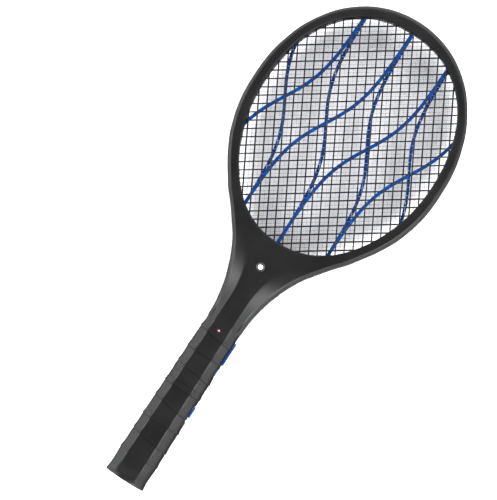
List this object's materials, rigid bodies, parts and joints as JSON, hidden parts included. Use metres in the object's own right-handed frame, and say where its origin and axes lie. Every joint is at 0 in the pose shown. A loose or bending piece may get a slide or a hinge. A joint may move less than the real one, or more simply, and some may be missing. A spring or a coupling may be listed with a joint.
{
  "type": "electric fly swatter",
  "caption": "Racket-shaped electric insect swatter with a three-layer wire mesh head, wavy blue ribs, side switches and a removable torch forming the end of the handle.",
  "frame": {"origin": "under the middle of the whole object, on its rest plane", "axes": "+Y from the torch lens to the head tip, +X towards the switches, +Z out of the front face"},
  "size_m": [0.2118, 0.5174, 0.0418],
  "materials": {
    "black_shell": "fine textured black ABS",
    "torch_shell": "fine textured black ABS",
    "mesh": "welded wire",
    "rib_blue": "satin blue plastic",
    "spacer": "matte",
    "screw": "zinc plated",
    "brass": "stamped strip",
    "lead_red": "insulated wire",
    "lead_black": "insulated wire",
    "tinned": "tinned wire",
    "board": "solder mask",
    "ferrite": "sintered",
    "winding": "tape",
    "capacitor": "dipped film",
    "component": "moulded",
    "switch_blue": "gloss blue",
    "switch_dark_blue": "gloss dark blue",
    "switch_light_blue": "gloss light blue",
    "led_white": "lit lens",
    "led_red": "tinted lens",
    "lens": "clear",
    "reflector": "vacuum metallised",
    "cell": "printed sleeve left plain",
    "nickel": "nickel plated"
  },
  "bodies": {
    "racket": {"racket_front_shell": "black_shell", "racket_rear_shell": "black_shell", "racket_screws": "screw", "front_safety_mesh": "mesh", "centre_high_voltage_grid": "mesh", "rear_safety_mesh": "mesh", "front_wavy_ribs": "rib_blue", "rear_wavy_ribs": "rib_blue", "front_spacer_ring": "spacer", "rear_spacer_ring": "spacer", "mesh_contact_clip": "brass", "high_voltage_lead": "lead_red", "ground_lead": "lead_black", "supply_leads": "lead_red", "led_legs": "tinned", "circuit_board": "board", "transformer_core": "ferrite", "transformer_winding": "winding", "high_voltage_capacitor": "capacitor", "diodes_and_resistors": "component", "switching_transistor": "component", "power_switch_body": "component", "push_switch_body": "component", "dc_socket": "component", "socket_centre_pin": "nickel", "power_switch_base": "switch_dark_blue", "throat_led": "led_white", "throat_led_ring": "spacer", "indicator_led": "led_red"},
    "torch": {"torch_front_shell": "torch_shell", "torch_rear_shell": "torch_shell", "torch_screws": "screw", "torch_lens_rim": "torch_shell", "torch_lens": "lens", "torch_reflector": "reflector", "torch_led": "led_white", "torch_led_board": "board", "torch_cell": "cell", "cell_front_contact": "nickel", "cell_rear_contact": "nickel", "torch_charge_board": "board", "charge_board_parts": "component", "torch_switch_body": "component", "torch_switch_base": "switch_dark_blue", "barrel_plug": "nickel", "plug_insulator": "component", "torch_leads": "lead_red"},
    "power_switch_knob": {"power_switch_knob": "switch_blue"},
    "push_button": {"push_button": "switch_blue", "push_switch_plunger": "component"},
    "torch_switch_knob": {"torch_switch_knob": "switch_light_blue"}
  },
  "joints": [
    {"name": "torch_pull_out", "type": "slide", "parent": "racket", "child": "torch", "axis": [0, -1, 0], "range_m": [0, 0.06]},
    {"name": "power_switch_slide", "type": "slide", "parent": "racket", "child": "power_switch_knob", "axis": [0, -1, 0], "range_m": [0, 0.014]},
    {"name": "push_button_press", "type": "slide", "parent": "racket", "child": "push_button", "axis": [-1, 0, 0], "range_m": [0, 0.0018], "stiffness_N_per_m": 800},
    {"name": "torch_switch_slide", "type": "slide", "parent": "torch", "child": "torch_switch_knob", "axis": [0, -1, 0], "range_m": [0, 0.005]}
  ]
}
